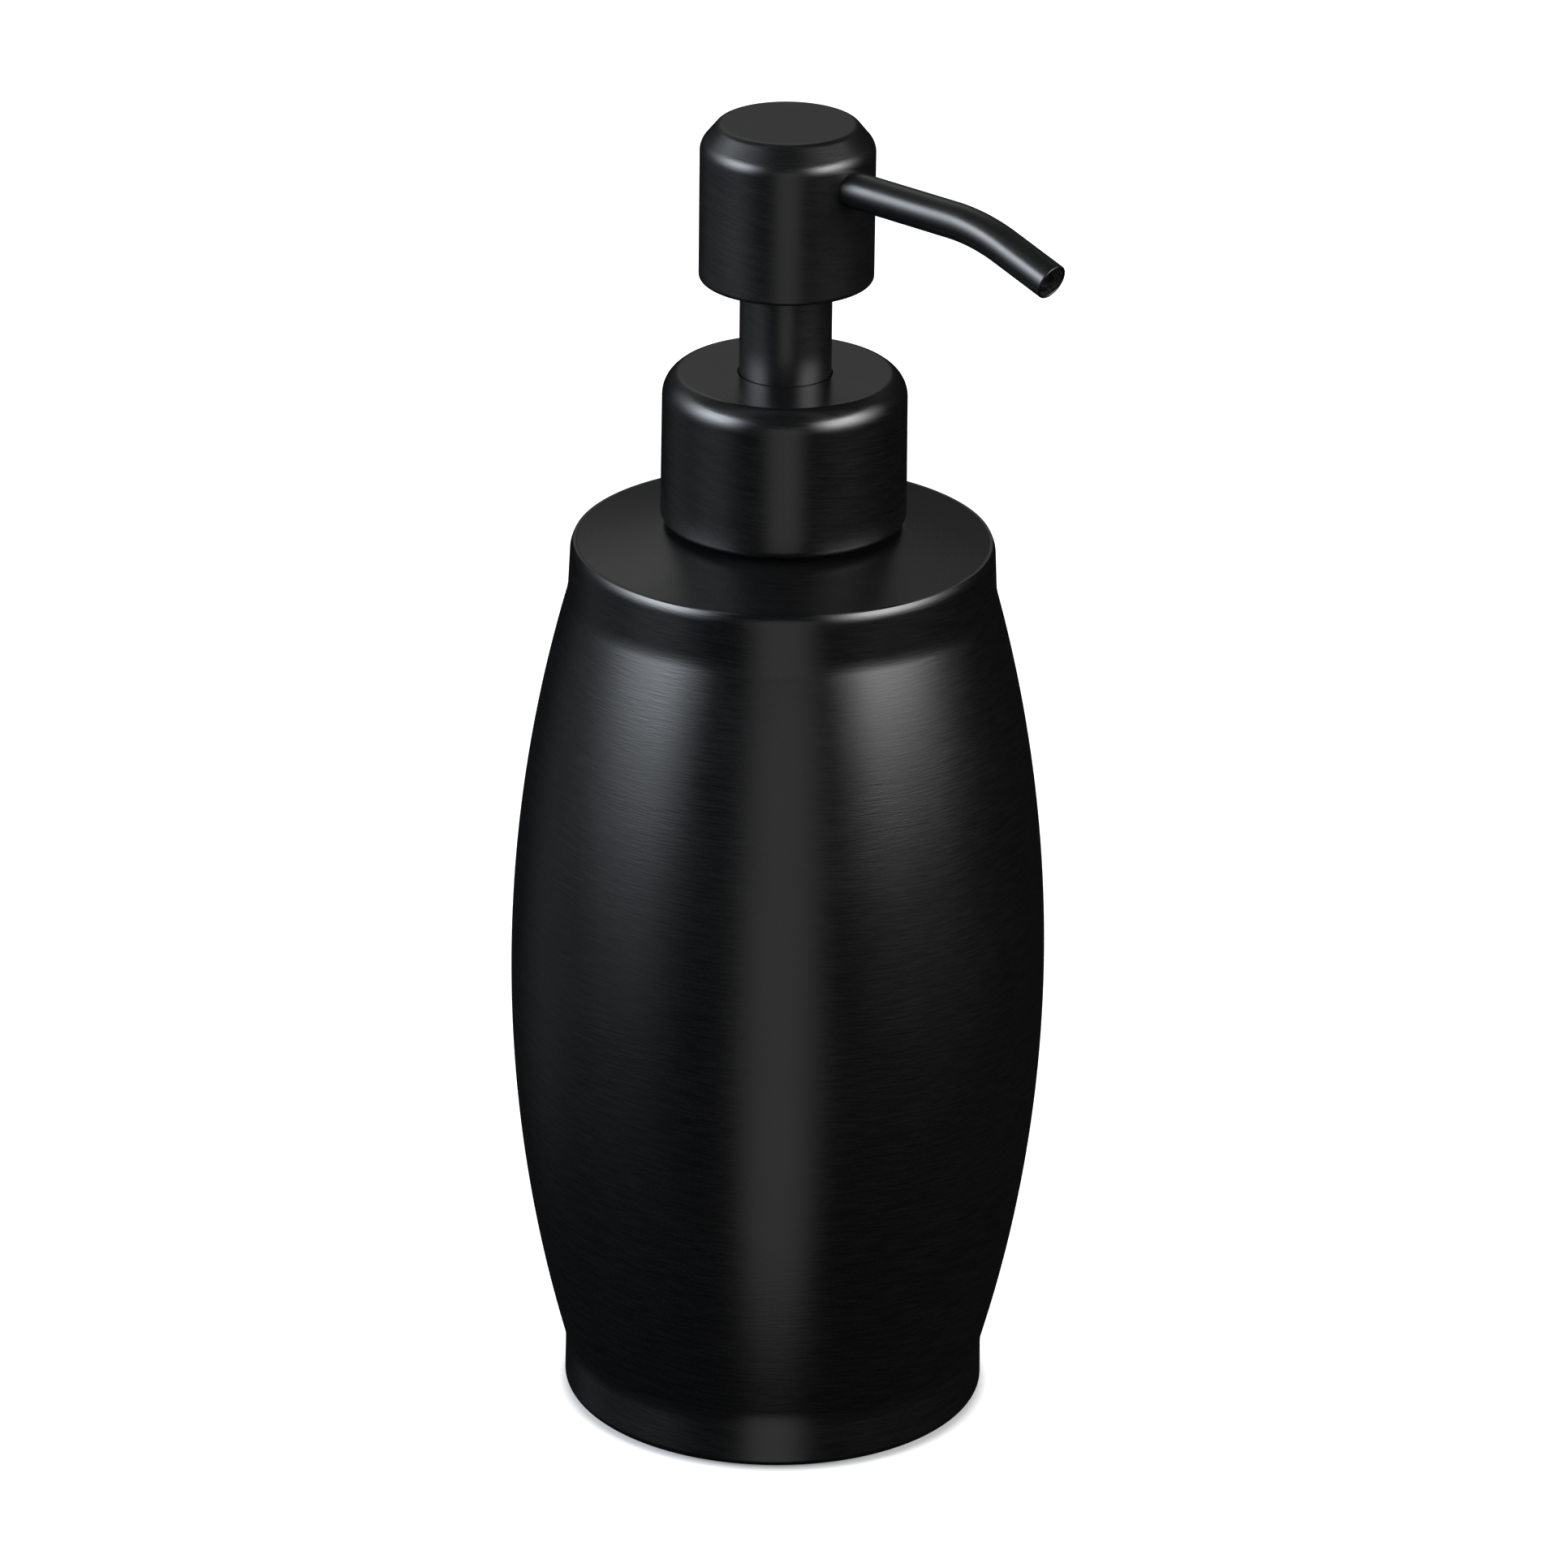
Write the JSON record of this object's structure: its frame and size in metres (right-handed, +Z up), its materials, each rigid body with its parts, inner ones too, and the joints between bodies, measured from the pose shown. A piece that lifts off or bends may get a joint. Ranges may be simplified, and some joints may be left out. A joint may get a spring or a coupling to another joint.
{
  "type": "soap pump dispenser",
  "caption": "Free-standing soap dispenser: barrel-shaped black steel bottle with a screw-on lotion pump, beveled push-down head, thin bent spout tube and round collar.",
  "frame": {"origin": "centre of the base on the rest plane, on the pump's axis", "axes": "+Z up along the pump's axis, +X along the spout"},
  "size_m": [0.0812, 0.071, 0.1792],
  "materials": {
    "bottle_paint": "satin black, fine brushed grain",
    "collar_paint": "satin black",
    "head_paint": "satin black",
    "bare_steel": "brushed",
    "black_plastic": "matte black moulding",
    "pad_rubber": "matte foam rubber",
    "gasket_rubber": "soft white",
    "pump_plastic": "natural white moulding",
    "tube_plastic": "translucent tube",
    "ball_steel": "polished",
    "spring_steel": "drawn wire"
  },
  "bodies": {
    "bottle": {"body_shell": "bottle_paint", "top_plate": "bottle_paint", "neck_ferrule": "black_plastic", "base_plate": "bare_steel", "base_pad": "pad_rubber"},
    "pump_unit": {"neck_gasket": "gasket_rubber", "pump_housing": "pump_plastic", "stem_guide": "pump_plastic", "ball_retainer": "pump_plastic", "dip_tube": "tube_plastic"},
    "closure": {"collar_shell": "collar_paint", "threaded_closure": "pump_plastic", "guide_bush": "black_plastic"},
    "return_spring": {"return_spring": "spring_steel"},
    "head": {"head_shell": "head_paint", "actuator_core": "black_plastic", "spout_tube": "head_paint", "stem_sleeve": "head_paint", "pump_stem": "pump_plastic", "stem_plug": "pump_plastic"},
    "piston": {"piston": "pump_plastic"},
    "inlet_ball": {"inlet_ball": "ball_steel"}
  },
  "joints": [
    {"name": "pump_rise", "type": "slide", "parent": "bottle", "child": "pump_unit", "axis": [0, 0, 1], "range_m": [0, 0.0054]},
    {"name": "closure_unscrew", "type": "hinge", "parent": "pump_unit", "child": "closure", "pos_m": [0, 0, 0.1355], "axis": [0, 0, 1], "range_deg": [0, 450]},
    {"name": "head_press", "type": "slide", "parent": "pump_unit", "child": "return_spring", "axis": [0, 0, -1], "range_m": [0, 0.011], "stiffness_N_per_m": 870, "springref_m": -0.006, "deforming": ["return_spring"]},
    {"name": "head_swivel", "type": "hinge", "parent": "return_spring", "child": "head", "pos_m": [0, 0, 0.1687], "axis": [0, 0, 1], "continuous": true},
    {"name": "piston_float", "type": "slide", "parent": "return_spring", "child": "piston", "axis": [0, 0, 1], "range_m": [0, 0.0012]},
    {"name": "ball_lift", "type": "slide", "parent": "pump_unit", "child": "inlet_ball", "axis": [0, 0, 1], "range_m": [0, 0.0018]}
  ],
  "couplings": [
    {"joint": "pump_rise", "follows": "closure_unscrew", "m_per_rad": 0.00067322}
  ]
}
